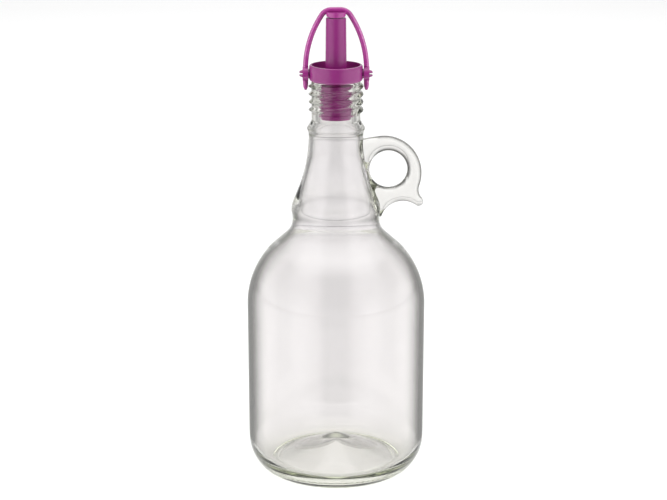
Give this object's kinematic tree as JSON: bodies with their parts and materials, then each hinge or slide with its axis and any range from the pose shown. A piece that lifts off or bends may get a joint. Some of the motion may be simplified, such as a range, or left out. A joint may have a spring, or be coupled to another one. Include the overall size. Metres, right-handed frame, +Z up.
{
  "type": "oil bottle",
  "caption": "Clear glass flagon with a finger loop on the neck, a plastic pourer with a drip cup and a swinging bail cap.",
  "frame": {"origin": "on the bottle's axis, in the plane of the ring that it stands on", "axes": "+Z up along the bottle's axis, +X towards the finger loop, +Y away from the viewer who sees the loop on the right"},
  "size_m": [0.105, 0.105, 0.277],
  "materials": {
    "glass": "clear near-neutral glass, faintly olive where it is thick",
    "purple_plastic": "smooth moulded purple plastic"
  },
  "bodies": {
    "bottle": {"bottle": "glass", "pourer": "purple_plastic"},
    "bail": {"bail": "purple_plastic"}
  },
  "joints": [
    {"name": "bail_swing", "type": "hinge", "parent": "bottle", "child": "bail", "pos_m": [0, 0, 0.2389], "axis": [1, 0, 0], "range_deg": [-132, 132]}
  ]
}
